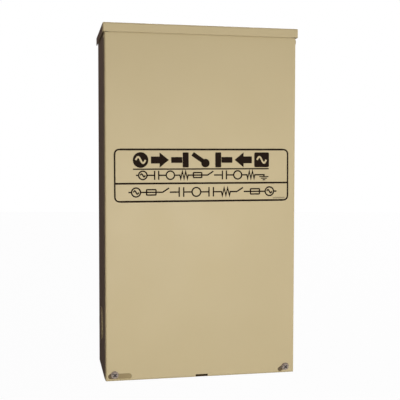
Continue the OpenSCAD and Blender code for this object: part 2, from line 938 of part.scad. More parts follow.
module wire(w) {
    sides = 10;
    d = unit(w[1] - w[0]);
    across = unit(cross(d, abs(d[2]) > 0.9 ? [1, 0, 0] : [0, 0, 1]));
    up = cross(across, d);
    first = [for (i = [0:sides - 1])
        w[0] + wire_r * (cos(360 * i / sides) * across + sin(360 * i / sides) * up)];
    rings = wire_rings(w, 0, first);
    last = (len(w) - 1) * sides;
    polyhedron(
        points = [for (ring = rings) each ring],
        faces = concat(
            [[for (i = [0:sides - 1]) i]],
            [for (k = [0:len(w) - 2], i = [0:sides - 1])
                let (a = k * sides + i, b = k * sides + (i + 1) % sides)
                [b, a, a + sides, b + sides]],
            [[for (i = [sides - 1:-1:0]) last + i]]
        )
    );
}

module control_wires() {
    color([0.2, 0.25, 0.5]) for (w = wires) wire(w);
}

back_shell();
bottom_end_wall();
drip_cap();
front_cover();
hinge_rivets();
clinch_nuts();
cover_screw_left();
cover_screw_right();
padlock_hasp();
hasp_guide();
mounting_subplate();
subplate_studs();
subplate_nuts();
plate_screws();
switch_base();
frame_cheeks();
shaft_bushes();
transfer_shaft();
retaining_rings();
contact_carriers();
contact_arms();
moving_contacts();
fixed_contacts();
utility_bars();
generator_bars();
load_bars();
utility_lugs();
generator_lugs();
load_lugs();
lug_screws();
arc_chute_cheeks();
splitter_plates();
drive_lever();
drive_pin();
switch_cam();
handle_socket();
solenoid_plunger();
utility_coil();
generator_coil();
coil_bobbins();
coil_yokes();
limit_switches();
utility_switch_lever();
generator_switch_lever();
rectifiers();
relay_base();
relay_coil();
relay_cover();
fuse_block();
fuses();
terminal_strip();
terminal_screws();
neutral_insulators();
neutral_bar();
bar_screws();
ground_bar();
manual_handle();
handle_grip();
handle_clips();
control_wires();
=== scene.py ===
import itertools
import json
import math

import bmesh
import bpy
from mathutils import Matrix, Vector


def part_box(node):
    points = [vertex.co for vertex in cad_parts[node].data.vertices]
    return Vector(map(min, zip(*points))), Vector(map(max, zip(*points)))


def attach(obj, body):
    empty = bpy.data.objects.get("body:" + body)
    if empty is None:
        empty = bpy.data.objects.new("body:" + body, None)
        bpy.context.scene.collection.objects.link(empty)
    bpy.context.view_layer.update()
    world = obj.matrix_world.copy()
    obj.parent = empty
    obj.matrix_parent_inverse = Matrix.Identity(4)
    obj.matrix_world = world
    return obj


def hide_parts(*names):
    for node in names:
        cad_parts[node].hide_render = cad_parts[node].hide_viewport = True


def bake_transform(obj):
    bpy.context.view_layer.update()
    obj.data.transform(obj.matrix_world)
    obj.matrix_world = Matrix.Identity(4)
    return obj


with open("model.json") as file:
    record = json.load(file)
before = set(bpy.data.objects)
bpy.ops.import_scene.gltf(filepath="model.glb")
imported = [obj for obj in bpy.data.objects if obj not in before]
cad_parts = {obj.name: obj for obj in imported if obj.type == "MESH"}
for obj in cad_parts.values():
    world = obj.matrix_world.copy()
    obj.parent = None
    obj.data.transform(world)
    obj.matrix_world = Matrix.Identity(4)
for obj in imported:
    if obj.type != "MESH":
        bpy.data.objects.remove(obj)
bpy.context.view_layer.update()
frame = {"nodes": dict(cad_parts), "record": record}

MM = 0.001


# ---------- node material helpers ----------

class Graph:
    """A small wrapper that adds and links nodes of one material or world."""

    def __init__(self, tree):
        self.tree = tree

    def add(self, kind, **values):
        node = self.tree.nodes.new(kind)
        for key, value in values.items():
            if hasattr(node, key):
                setattr(node, key, value)
            else:
                node.inputs[key.replace("_", " ")].default_value = value
        return node

    def link(self, a, b):
        self.tree.links.new(a, b)

    def coords(self):
        """Position in the part's own frame, in metres."""
        return self.add("ShaderNodeTexCoord").outputs["Object"]

    def stretched(self, scale):
        """Position multiplied by a scale for each axis."""
        mapping = self.add("ShaderNodeMapping")
        mapping.inputs["Scale"].default_value = scale
        self.link(self.coords(), mapping.inputs["Vector"])
        return mapping.outputs["Vector"]

    def noise(self, scale, detail=3.0, rough=0.5, vector=None):
        node = self.add("ShaderNodeTexNoise", Scale=scale, Detail=detail, Roughness=rough)
        self.link(vector or self.coords(), node.inputs["Vector"])
        return node.outputs["Fac"]

    def cells(self, scale):
        node = self.add("ShaderNodeTexVoronoi", Scale=scale)
        self.link(self.coords(), node.inputs["Vector"])
        return node.outputs["Distance"]

    def ramp(self, value, stops):
        """Colour ramp; stops are (place, colour) or (place, grey)."""
        node = self.add("ShaderNodeValToRGB")
        while len(node.color_ramp.elements) < len(stops):
            node.color_ramp.elements.new(0.5)
        for element, (place, colour) in zip(node.color_ramp.elements, stops):
            element.position = place
            grey = isinstance(colour, (int, float))
            element.color = (colour,) * 3 + (1,) if grey else (*colour, 1)
        self.link(value, node.inputs["Fac"])
        return node.outputs["Color"]

    def mix(self, fac, a, b):
        """Colour mix; a and b are sockets or colours."""
        node = self.add("ShaderNodeMix", data_type="RGBA")
        # The factor, then the first and the second colour
        for socket, value in zip((node.inputs[0], node.inputs[6], node.inputs[7]), (fac, a, b)):
            if isinstance(value, bpy.types.NodeSocket):
                self.link(value, socket)
            elif isinstance(value, (int, float)):
                socket.default_value = value
            else:
                socket.default_value = (*value, 1)
        return node.outputs[2]

    def math(self, operation, a, b=0.0):
        node = self.add("ShaderNodeMath", operation=operation)
        for socket, value in zip(node.inputs, (a, b)):
            if isinstance(value, bpy.types.NodeSocket):
                self.link(value, socket)
            else:
                socket.default_value = value
        return node.outputs[0]

    def bump(self, height, distance, strength=1.0, under=None):
        node = self.add("ShaderNodeBump", Strength=strength, Distance=distance)
        self.link(height, node.inputs["Height"])
        if under:
            self.link(under, node.inputs["Normal"])
        return node.outputs["Normal"]


def material(name, metallic=0.0, **fixed):
    """New material; returns it, its graph and its Principled shader."""
    mat = bpy.data.materials.new(name)
    mat.use_nodes = True
    graph = Graph(mat.node_tree)
    shader = mat.node_tree.nodes["Principled BSDF"]
    shader.inputs["Metallic"].default_value = metallic
    for key, value in fixed.items():
        shader.inputs[key.replace("_", " ")].default_value = value
    return mat, graph, shader


def shades(colour, spread):
    """A darker and a lighter version of a colour."""
    low = tuple(c * (1 - spread) for c in colour)
    high = tuple(min(1, c * (1 + spread)) for c in colour)
    return low, high


PAINT = (0.565, 0.462, 0.252)


def powder_coat():
    """Tan powder paint: faint clouds, fine flecks and orange peel."""
    mat, g, bsdf = material("powder_coat", IOR=1.5)
    low, high = shades(PAINT, 0.035)
    cloud = g.ramp(g.noise(5.0, 4.0), [(0.3, low), (0.7, high)])
    fleck = g.noise(2600.0, 1.0)
    tint = g.ramp(fleck, [(0.35, tuple(c * 0.93 for c in PAINT)), (0.6, PAINT)])
    g.link(g.mix(0.35, cloud, tint), bsdf.inputs["Base Color"])
    g.link(g.ramp(g.noise(14.0, 3.0), [(0.3, 0.42), (0.75, 0.52)]), bsdf.inputs["Roughness"])
    peel = g.bump(g.noise(420.0, 2.0), 0.00012, 0.35)
    g.link(g.bump(g.noise(1500.0, 1.0), 0.00004, 0.3, peel), bsdf.inputs["Normal"])
    return mat


def zinc_plate(name="zinc_plate", colour=(0.33, 0.335, 0.35), rough=(0.36, 0.52)):
    """Plated steel with a faint crystal pattern; rough gives two roughness limits."""
    mat, g, bsdf = material(name, metallic=1.0)
    low, high = shades(colour, 0.09)
    spangle = g.cells(140.0)
    g.link(g.ramp(g.math("ADD", spangle, g.noise(60.0, 3.0)), [(0.4, low), (1.0, high)]),
           bsdf.inputs["Base Color"])
    g.link(g.ramp(g.noise(90.0, 4.0), [(0.3, rough[0]), (0.7, rough[1])]),
           bsdf.inputs["Roughness"])
    g.link(g.bump(g.noise(900.0, 3.0), 0.00004, 0.4), bsdf.inputs["Normal"])
    return mat


def turned_steel():
    """Bright steel with tool marks round the X axis."""
    mat, g, bsdf = material("turned_steel", metallic=1.0)
    rings = g.noise(1.0, 3.0, vector=g.stretched((1800.0, 60.0, 60.0)))
    g.link(g.ramp(rings, [(0.3, (0.2, 0.2, 0.205)), (0.7, (0.32, 0.32, 0.335))]),
           bsdf.inputs["Base Color"])
    g.link(g.ramp(g.noise(60.0, 4.0), [(0.3, 0.26), (0.7, 0.44)]), bsdf.inputs["Roughness"])
    g.link(g.bump(rings, 0.00003, 0.4), bsdf.inputs["Normal"])
    return mat


def rolled_metal(name, colour, rough):
    """Bar stock with fine rolling lines across Z and slight tarnish."""
    mat, g, bsdf = material(name, metallic=1.0)
    low, high = shades(colour, 0.12)
    tarnish = g.ramp(g.noise(45.0, 5.0, 0.6), [(0.3, low), (0.7, high)])
    g.link(tarnish, bsdf.inputs["Base Color"])
    g.link(g.ramp(g.noise(30.0, 4.0), [(0.3, rough), (0.7, rough + 0.16)]),
           bsdf.inputs["Roughness"])
    grain = g.noise(1.0, 3.0, vector=g.stretched((40.0, 40.0, 900.0)))
    g.link(g.bump(grain, 0.00003, 0.35), bsdf.inputs["Normal"])
    return mat


def moulding(name, colour, rough=0.5, grain=0.00006):
    """Moulded plastic with a fine spark-eroded texture."""
    mat, g, bsdf = material(name, IOR=1.5)
    low, high = shades(colour, 0.12)
    g.link(g.ramp(g.noise(25.0, 4.0), [(0.3, low), (0.7, high)]), bsdf.inputs["Base Color"])
    g.link(g.ramp(g.noise(70.0, 3.0), [(0.3, rough - 0.08), (0.7, rough + 0.1)]),
           bsdf.inputs["Roughness"])
    g.link(g.bump(g.noise(1400.0, 2.0), grain, 0.5), bsdf.inputs["Normal"])
    return mat


def woven_copper():
    """Copper braid: two sets of slanting strands."""
    mat, g, bsdf = material("copper_braid", metallic=1.0)
    heights = []
    for turn in (0.6, -0.6):
        mapping = g.add("ShaderNodeMapping")
        mapping.inputs["Rotation"].default_value = (turn, 0.0, turn)
        g.link(g.coords(), mapping.inputs["Vector"])
        wave = g.add("ShaderNodeTexWave", Scale=330.0, Distortion=0.4)
        g.link(mapping.outputs["Vector"], wave.inputs["Vector"])
        heights.append(wave.outputs["Fac"])
    weave = g.math("MULTIPLY", *heights)
    g.link(g.ramp(weave, [(0.0, (0.22, 0.09, 0.05)), (0.6, (0.78, 0.42, 0.27))]),
           bsdf.inputs["Base Color"])
    bsdf.inputs["Roughness"].default_value = 0.38
    g.link(g.bump(weave, 0.0004, 0.8), bsdf.inputs["Normal"])
    return mat


def ink():
    """Dark brown screen-printing ink, nearly matt."""
    mat, g, bsdf = material("printed_ink", IOR=1.4, Specular_IOR_Level=0.12)
    tone = g.ramp(g.noise(700.0, 3.0), [(0.3, (0.012, 0.006, 0.003)), (0.7, (0.02, 0.011, 0.006))])
    g.link(tone, bsdf.inputs["Base Color"])
    g.link(g.ramp(g.noise(300.0, 2.0), [(0.3, 0.68), (0.7, 0.8)]), bsdf.inputs["Roughness"])
    return mat


def painted_shade_pads():
    """Painted shade in the pressings round the cover screws: brown, darkest at the cover's edge on
    the left strip and dark on the right one.
    """
    mat, g, bsdf = material("pressing_painted_shade")
    axes = g.add("ShaderNodeSeparateXYZ")
    g.link(g.coords(), axes.inputs[0])
    away = g.math("MULTIPLY", g.math("ADD", axes.outputs["X"], 0.164), 24.0)
    # The colour along X paints shade: dark near the cover's left edge, paler inwards, dark again
    # for the right strip.
    tone = g.ramp(away, [(0.1, (0.16, 0.11, 0.055)), (0.45, (0.31, 0.235, 0.115)),
                         (0.95, (0.35, 0.27, 0.13)), (1.0, (0.14, 0.1, 0.052))])
    g.link(tone, bsdf.inputs["Base Color"])
    bsdf.inputs["Roughness"].default_value = 0.8
    g.link(g.bump(g.noise(1200.0, 2.0), 0.0002, 0.5), bsdf.inputs["Normal"])
    return mat


def painted_notch_shade():
    """Painted shade for the padlock notch: dull dark brown with no gloss."""
    mat, g, bsdf = material("painted_notch_shade", Roughness=1.0, Specular_IOR_Level=0.0)
    tone = g.ramp(g.noise(900.0, 3.0), [(0.3, (0.06, 0.031, 0.009)), (0.7, (0.09, 0.05, 0.016))])
    g.link(tone, bsdf.inputs["Base Color"])
    return mat


def clear_plastic():
    """Slightly scuffed clear cover of the relay."""
    mat, g, bsdf = material("clear_plastic", IOR=1.49, Transmission_Weight=1.0)
    bsdf.inputs["Base Color"].default_value = (0.93, 0.95, 0.94, 1)
    g.link(g.ramp(g.noise(80.0, 3.0), [(0.3, 0.03), (0.8, 0.12)]), bsdf.inputs["Roughness"])
    return mat


MATERIALS = {
    "enclosure_paint": powder_coat(),
    "zinc_plate": zinc_plate(),
    "plain_steel": turned_steel(),
    "bronze": rolled_metal("bronze", (0.46, 0.29, 0.13), 0.34),
    "copper": rolled_metal("copper", (0.52, 0.22, 0.12), 0.32),
    "silver_contact": rolled_metal("silver_contact", (0.55, 0.54, 0.52), 0.34),
    "lug_aluminium": rolled_metal("lug_aluminium", (0.4, 0.405, 0.42), 0.38),
    "black_moulding": moulding("black_moulding", (0.022, 0.022, 0.024)),
    "carrier_moulding": moulding("carrier_moulding", (0.23, 0.05, 0.025)),
    "fibre_board": moulding("fibre_board", (0.3, 0.11, 0.05), 0.6, 0.0001),
    "white_nylon": moulding("white_nylon", (0.74, 0.71, 0.62), 0.42),
    "coil_tape": moulding("coil_tape", (0.3, 0.02, 0.014), 0.35),
    "relay_winding": moulding("relay_winding", (0.42, 0.13, 0.04), 0.3),
    "clear_cover": clear_plastic(),
    "fuse_body": moulding("fuse_body", (0.66, 0.56, 0.38), 0.5),
    "insulator_red": moulding("insulator_red", (0.34, 0.02, 0.014), 0.38),
    "handle_vinyl": moulding("handle_vinyl", (0.38, 0.018, 0.012), 0.4),
    "wire_insulation": moulding("wire_insulation", (0.03, 0.05, 0.24), 0.34),
    # Black steel for the padlock hasp; its darkness is also painted shade in the padlock notch.
    "black_steel": zinc_plate("black_steel", (0.045, 0.04, 0.038), (0.4, 0.55)),
    "label_paper": moulding("label_paper", (0.82, 0.81, 0.77), 0.45, 0.00002),
    "green_label": moulding("green_label", (0.02, 0.24, 0.07), 0.4, 0.00002),
    "copper_braid": woven_copper(),
    "pressing_painted_shade": painted_shade_pads(),
    "painted_notch_shade": painted_notch_shade(),
    "smoked_zinc": zinc_plate("smoked_zinc", (0.21, 0.175, 0.15), (0.2, 0.34)),
}
INK = ink()
WIRE_COLOURS = {name: moulding("wire_" + name, colour, 0.34) for name, colour in (
    ("blue", (0.02, 0.06, 0.34)), ("yellow", (0.72, 0.48, 0.03)), ("red", (0.42, 0.02, 0.015)),
    ("black", (0.018, 0.018, 0.02)), ("white", (0.72, 0.72, 0.7)))}


# ---------- places of the CAD nodes, in millimetres to a tenth ----------

def lowest(node):
    """Lowest corner of a node at rest."""
    return [round(c / MM, 1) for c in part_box(node)[0]]


def highest(node):
    """Highest corner of a node at rest."""
    return [round(c / MM, 1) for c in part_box(node)[1]]


def middle(node):
    """Middle of a node at rest."""
    return [round((a + b) / 2 / MM, 1) for a, b in zip(*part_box(node))]


# ---------- mesh helpers, all in millimetres ----------

def smooth_path(points, radius, steps=6, closed=False):
    """Rounds every corner of a path of 2D or 3D points."""
    points = [Vector(p) for p in points]
    count = len(points)
    path = []
    for i, corner in enumerate(points):
        if not closed and i in (0, count - 1):
            path.append(corner)
            continue
        back = points[i - 1] - corner
        ahead = points[(i + 1) % count] - corner
        cut = min(radius, back.length * 0.49, ahead.length * 0.49)
        start = corner + back.normalized() * cut
        end = corner + ahead.normalized() * cut
        for k in range(steps + 1):
            t = k / steps
            path.append(start * (1 - t) ** 2 + corner * 2 * t * (1 - t) + end * t * t)
    return path


def ring_of(bm, centre, u, v, outline):
    """Vertices of an outline laid on the axes u and v."""
    return [bm.verts.new((centre + u * a + v * b) * MM) for a, b in outline]


def bridge(bm, rings, closed=False):
    """Joins rings of equal length into a skin, capped at both ends unless it closes."""
    pairs = list(zip(rings, rings[1:])) + ([(rings[-1], rings[0])] if closed else [])
    for one, two in pairs:
        n = len(one)
        for i in range(n):
            bm.faces.new((one[i], one[(i + 1) % n], two[(i + 1) % n], two[i]))
    if not closed:
        bm.faces.new(list(reversed(rings[0])))
        bm.faces.new(rings[-1])


def circle_outline(radius, sides):
    """A circle about the origin."""
    turns = [2 * math.pi * i / sides for i in range(sides)]
    return [(radius * math.cos(turn), radius * math.sin(turn)) for turn in turns]


def box_outline(width, height, corner):
    """Rectangle about the origin, with each corner cut."""
    w, h, c = width / 2, height / 2, corner
    return [(-w + c, -h), (w - c, -h), (w, -h + c), (w, h - c),
            (w - c, h), (-w + c, h), (-w, h - c), (-w, -h + c)]


def sweep(bm, path, outline, across=None, closed=False):
    """Carries an outline along a path. across fixes the outline's first axis."""
    path = [Vector(p) for p in path]
    rings = []
    side = Vector(across) if across else None
    for i, point in enumerate(path):
        before = path[i - 1] if i or closed else None
        after = path[(i + 1) % len(path)] if i + 1 < len(path) or closed else None
        ahead = ((point - before).normalized() if before is not None else Vector())
        ahead = (ahead + ((after - point).normalized() if after is not None else Vector()))
        ahead.normalize()
        if side is None:
            side = ahead.cross(Vector((0, 0, 1) if abs(ahead.z) < 0.9 else (1, 0, 0)))
        side = (Vector(across) if across else side)
        side = (side - ahead * side.dot(ahead)).normalized()
        rings.append(ring_of(bm, point, side, ahead.cross(side), outline))
    bridge(bm, rings, closed)


def lathe(bm, profile, base, axis, sides=24):
    """Turns a profile of (distance along the axis, radius) about an axis through base."""
    axis = Vector(axis).normalized()
    u = axis.orthogonal().normalized()
    v = axis.cross(u)
    rings = [ring_of(bm, Vector(base) + axis * d, u, v, circle_outline(r, sides))
             for d, r in profile]
    bridge(bm, rings)


def block(bm, low, high, bevel):
    """Box between two corners, with all its edges rounded."""
    corners = [Vector((x, y, z)) * MM for x in (low[0], high[0])
               for y in (low[1], high[1]) for z in (low[2], high[2])]
    v = [bm.verts.new(c) for c in corners]
    faces = [bm.faces.new([v[i] for i in f]) for f in
             ((0, 1, 3, 2), (4, 6, 7, 5), (0, 4, 5, 1), (2, 3, 7, 6), (0, 2, 6, 4), (1, 5, 7, 3))]
    edges = list(dict.fromkeys(e for f in faces for e in f.edges))
    bmesh.ops.bevel(bm, geom=edges, offset=bevel * MM, segments=2, profile=0.5,
                    affect="EDGES", clamp_overlap=True)


def plate(bm, outline, y_near, y_far):
    """A flat shape drawn in X and Z, between two depths."""
    rings = [[bm.verts.new(Vector((x, y, z)) * MM) for x, z in outline] for y in (y_near, y_far)]
    bridge(bm, rings)


def stroke(bm, points, width, y_near, y_far, closed=False):
    """A printed line of even width through points in X and Z."""
    points = [Vector(p) for p in points]
    count = len(points)
    rings = []
    for i, p in enumerate(points):
        before = points[i - 1] if i or closed else None
        after = points[(i + 1) % count] if i + 1 < count or closed else None
        a = (p - before).normalized() if before is not None else (after - p).normalized()
        b = (after - p).normalized() if after is not None else a
        normal = Vector((-(a.y + b.y), a.x + b.x)).normalized()
        reach = width / 2 / max(0.3, normal.dot(Vector((-a.y, a.x))))
        left, right = p + normal * reach, p - normal * reach
        rings.append([bm.verts.new(Vector((q.x, y, q.y)) * MM)
                      for q, y in ((left, y_near), (right, y_near), (right, y_far), (left, y_far))])
    bridge(bm, rings, closed)


def circle(cx, cz, radius):
    """Points of a circle in X and Z."""
    return [(cx + a, cz + b) for a, b in circle_outline(radius, 28)]


def rounded_box(x0, z0, x1, z1, radius, steps=6):
    """Points of a rectangle in X and Z with round corners."""
    return [(p.x, p.y) for p in
            smooth_path([(x0, z0), (x1, z0), (x1, z1), (x0, z1)], radius, steps, closed=True)]


def piece(name, bm, mat, body, sharp=35.0):
    """Turns a bmesh into an object. It moves with a body, unless body is None."""
    bmesh.ops.recalc_face_normals(bm, faces=bm.faces)
    mesh = bpy.data.meshes.new(name)
    bm.to_mesh(mesh)
    bm.free()
    mesh.materials.append(mat)
    mesh.shade_smooth()
    mesh.set_sharp_from_angle(angle=math.radians(sharp))
    obj = bpy.data.objects.new(name, mesh)
    bpy.context.scene.collection.objects.link(obj)
    if body:
        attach(obj, body)
    return obj


# ---------- printed legend on the cover ----------

# Front face of the cover, and the near and far depth of each layer of print on it.
# Leads and edges have layers of their own, so that they share no face with what they meet.
FACE = lowest("front_cover")[1]
INK_Y = (FACE - 0.14, FACE + 0.05)
LEAD_Y = (FACE - 0.12, FACE + 0.03)
EDGE_Y = (FACE - 0.17, FACE + 0.04)
DOT_Y = (FACE - 0.22, FACE - 0.05)


def wave_mark(cx, cz, half, rise, steps=16):
    """One cycle of a sine wave."""
    return [(cx - half + 2 * half * i / steps, cz + rise * math.sin(2 * math.pi * i / steps))
            for i in range(steps + 1)]


def arrow(bm, x0, x1, z, height, shaft, ys):
    """Solid arrow from x0 to x1."""
    way = 1 if x1 > x0 else -1
    neck = x1 - way * height * 0.62
    plate(bm, [(x0, z - shaft / 2), (neck, z - shaft / 2), (neck, z - height / 2), (x1, z),
               (neck, z + height / 2), (neck, z + shaft / 2), (x0, z + shaft / 2)], *ys)


def bold_symbols(bm, light):
    """Utility source, transfer switch, generator: a heavy row of solid shapes."""
    z, source_x, size = 79.8, 106.8, 13.4
    for way in (-1, 1):
        x = way * source_x
        source = circle(x, z, size)
        if way > 0:
            source = rounded_box(x - size, z - 13, x + size, z + 13, 3)
        plate(bm, source, *INK_Y)
        stroke(light, wave_mark(x, z, 8.4, 5.4), 3.0, *DOT_Y)
        arrow(bm, way * 89, way * 58, z, 26, 12, INK_Y)
        low, high = sorted((way * 54, way * 34.5))
        plate(bm, rounded_box(low, z - 5, high, z + 5, 1.2), *INK_Y)
        low, high = sorted((way * 34, way * 23.5))
        plate(bm, rounded_box(low, z - 13, high, z + 13, 1.5), *INK_Y)
    plate(bm, circle(6, z - 5.5, 7.4), *INK_Y)
    stroke(bm, [(1.0, z - 1.6), (-16.5, z + 10.5)], 7.5, *INK_Y)


def thin_symbols(bm, kinds, x0, x1, z, height, width):
    """A row of line-drawn circuit symbols between two ends."""
    pitch = (x1 - x0) / len(kinds)
    h = height / 2
    for i, kind in enumerate(kinds):
        c = x0 + pitch * (i + 0.5)
        e = pitch * 0.5
        r = min(h * 0.92, e * 0.72)
        if kind == "contact":
            for way in (-1, 1):
                stroke(bm, [(c + way * e * 0.3, z - h), (c + way * e * 0.3, z + h)], width, *INK_Y)
                stroke(bm, [(c + way * e * 0.3, z), (c + way * e, z)], width, *LEAD_Y)
        elif kind == "coil":
            stroke(bm, circle(c, z, r), width, *INK_Y, closed=True)
            for way in (-1, 1):
                stroke(bm, [(c + way * r, z), (c + way * e, z)], width, *LEAD_Y)
        elif kind == "fuse":
            stroke(bm, rounded_box(c - e * 0.62, z - h * 0.55, c + e * 0.62, z + h * 0.55, 1.0, 2),
                   width, *INK_Y, closed=True)
            stroke(bm, [(c - e, z), (c + e, z)], width, *LEAD_Y)
        elif kind == "zigzag":
            steps = [(c - e, z), (c - e * 0.6, z)]
            steps += [(c - e * 0.6 + e * 1.2 * (k + 0.5) / 5, z + h * 0.8 * (1 if k % 2 else -1))
                      for k in range(5)]
            steps += [(c + e * 0.6, z), (c + e, z)]
            stroke(bm, steps, width, *INK_Y)
        elif kind == "blade":
            stroke(bm, [(c - e, z), (c - e * 0.5, z), (c + e * 0.35, z + h * 0.85)], width, *INK_Y)
            stroke(bm, [(c + e * 0.45, z), (c + e, z)], width, *INK_Y)
        elif kind == "wave":
            stroke(bm, circle(c, z, r), width, *INK_Y, closed=True)
            stroke(bm, wave_mark(c, z, r * 0.6, r * 0.38, 12), width, *INK_Y)
            for way in (-1, 1):
                stroke(bm, [(c + way * r, z), (c + way * e, z)], width, *LEAD_Y)
        elif kind == "ground":
            stroke(bm, [(c - e, z), (c, z), (c, z - h * 0.42)], width, *LEAD_Y)
            for k, share in enumerate((0.7, 0.45, 0.2)):
                level = z - h * (0.42 + 0.36 * k)
                stroke(bm, [(c - e * share, level), (c + e * share, level)], width * 0.75, *INK_Y)


def printed_legend():
    """Outlined panel on the cover, turned slightly, with symbols in place of lettering."""
    bm, light = bmesh.new(), bmesh.new()
    left, right, low, divider, high = -151, 154.4, 8.8, 39.6, 97.8
    stroke(bm, rounded_box(left, low, right, high, 9), 2.7, *INK_Y, closed=True)
    for z in (low, high):
        stroke(bm, [(left + 9.5, z), (right - 9.5, z)], 3.2, *EDGE_Y)
    stroke(bm, [(left + 1.2, divider), (right - 1.2, divider)], 3.1, *EDGE_Y)
    stroke(bm, [(-120, 64.2), (120, 64.2)], 2.3, *INK_Y)
    bold_symbols(bm, light)
    thin_symbols(bm, ("wave", "contact", "coil", "zigzag", "fuse", "blade", "contact", "coil",
                      "zigzag", "ground"), -115, 123, 53.6, 15.6, 2.4)
    thin_symbols(bm, ("wave", "fuse", "blade", "contact", "coil", "contact", "zigzag", "blade",
                      "fuse", "wave"), -128, 134, 24.5, 16.6, 2.4)
    for k in range(15):
        x = 128 + 1.45 * k
        stroke(bm, [(x, 11.6), (x, 14.3)], 0.56, *INK_Y)
    skew = Matrix.Rotation(math.radians(-0.25), 3, "Y")
    for print_mesh in (bm, light):
        bmesh.ops.rotate(print_mesh, cent=(0, 0, 0.052), matrix=skew, verts=print_mesh.verts)
    piece("cover_legend", bm, INK, "cover")
    piece("cover_legend_waves", light, MATERIALS["enclosure_paint"], "cover")


def painted_pressing_shadows():
    """Brown sheets of painted shade in the two pressings around the cover screws, cut to the shapes
    of the shadows there.
    """
    bm = bmesh.new()
    near, far = FACE + 0.55, FACE + 0.95
    plate(bm, rounded_box(-163.2, -296.2, -123.2, -287.3, 4.4), near, far)
    cos, sin = math.cos(math.radians(28)), math.sin(math.radians(28))
    # The right sheet is turned to follow the slanting shadow below and left of its screw.
    outline = [(148.5 + x * cos - z * sin, -290 + x * sin + z * cos)
               for x, z in rounded_box(-10.6, -3.6, 10.6, 3.6, 3.6)]
    plate(bm, outline, near, far)
    piece("painted_pressing_shadows", bm, MATERIALS["pressing_painted_shade"], "cover")


def painted_notch_shadows():
    """Brown sheets of painted shade that line the padlock notch and the flange behind it."""
    bm = bmesh.new()
    block(bm, (-14, -156.3, -298.46), (14, -143.5, -298.06), 0.1)
    block(bm, (-10.7, -155.3, -299.9), (10.7, -154.4, -298.2), 0.2)
    piece("notch_painted_shadow", bm, MATERIALS["painted_notch_shade"], "cover")


# ---------- wiring ----------

# The five wired screws of the terminal strip, and the depth of their wires
STRIP_X = [lowest("terminal_strip")[0] + 5 + 10 * k for k in range(5)]
STRIP_WIRE_Y = lowest("terminal_screws")[1] + 0.4


def from_strip(x, *rest):
    """Path that leaves a screw of the terminal strip and climbs over its top edge."""
    return [(x, STRIP_WIRE_Y, -139), (x, STRIP_WIRE_Y, -131), (x, -26, -127), *rest]


def wire_routes():
    """Name, colour and path of each control wire."""
    return [
        ("wire_generator_switch", "blue", from_strip(
            -73, (-73, -20, -118), (-112, -20, -118), (-112, -20, 6), (-96.5, -20, 6),
            (-97, -24.2, 6))),
        ("wire_utility_switch", "yellow", from_strip(
            -63, (-63, -24, -121), (-115, -24, -121), (-115, -24, 76), (-115, -20, 80),
            (-97, -20, 80), (-97, -24.2, 80))),
        ("wire_rectifier", "red", from_strip(
            -53, (-53, -28, -124), (-118, -28, -124), (-118, -28, 150), (-118, -20, 156),
            (-74, -20, 156), (-74, -20, 162.5))),
        ("wire_fuse_feed", "black", [(1.5, -20, -150), (8, -20, -150), (14.5, -20, -150)]),
        ("wire_relay_feed", "white", [(-90.5, -20, -150), (-84, -20, -150), (-77.5, -20, -150)]),
        ("wire_utility_coil", "black", [
            (-68, -20, 162.5), (-68, -20, 158), (-68, -24, 151), (-68, -60, 147),
            (-68, -60, 141.5)]),
        ("wire_generator_coil_a", "black", from_strip(
            -43, (-43, -26, -72), (-43, -60, -58), (-43, -60, -51.5))),
        ("wire_generator_coil_b", "white", from_strip(
            -33, (-35, -26, -118), (-35, -26, -68), (-35, -52, -58), (-35, -52, -51.5))),
    ]


def control_wiring():
    """Coloured wires, the first of which stands in for the CAD wires, and their ends."""
    for count, (name, colour, route) in enumerate(wire_routes()):
        bm = bmesh.new()
        sweep(bm, smooth_path(route, 7.0), circle_outline(1.25, 10))
        wire = piece(name, bm, WIRE_COLOURS[colour], "enclosure")
        if count == 0:
            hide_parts("control_wires")
    crimp_barrels()
    fuse_ferrules()
    fork_terminals()
    cable_ties()


def crimp_barrels():
    """Insulated sleeve of each fork terminal on the strip."""
    bm = bmesh.new()
    for x in STRIP_X:
        lathe(bm, [(0, 1.3), (0.3, 2.0), (7.0, 2.1), (8.0, 1.9), (8.0, 1.4)],
              (x, STRIP_WIRE_Y, -139.5), (0, 0, 1), 16)
    piece("terminal_sleeves", bm, WIRE_COLOURS["blue"], "enclosure")


def fuse_ferrules():
    """Plated end caps of the three fuses."""
    bm = bmesh.new()
    x, y, _ = middle("fuses")
    for pitch in (-27, 0, 27):
        for z, way in ((lowest("fuses")[2], 1), (highest("fuses")[2], -1)):
            lathe(bm, [(-0.1, 4.2), (0.5, 5.1), (1.0, 5.27), (9.6, 5.27), (10.15, 4.95)],
                  (x + pitch, y, z), (0, 0, way), 32)
    piece("fuse_ferrules", bm, MATERIALS["lug_aluminium"], "enclosure")


def fork_terminals():
    """Tinned forks under the screw heads of the strip."""
    bm = bmesh.new()
    for x in STRIP_X:
        for side in (-1, 1):
            low, high = sorted((x + side * 1.7, x + side * 3.3))
            block(bm, (low, -31.0, -146.5), (high, -30.05, -140.4), 0.2)
        block(bm, (x - 3.3, -31.0, -141.0), (x + 3.3, -30.05, -139.3), 0.2)
        block(bm, (x - 1.2, -32.6, -139.8), (x + 1.2, -30.6, -138.8), 0.2)
    piece("fork_terminals", bm, MATERIALS["lug_aluminium"], "enclosure")


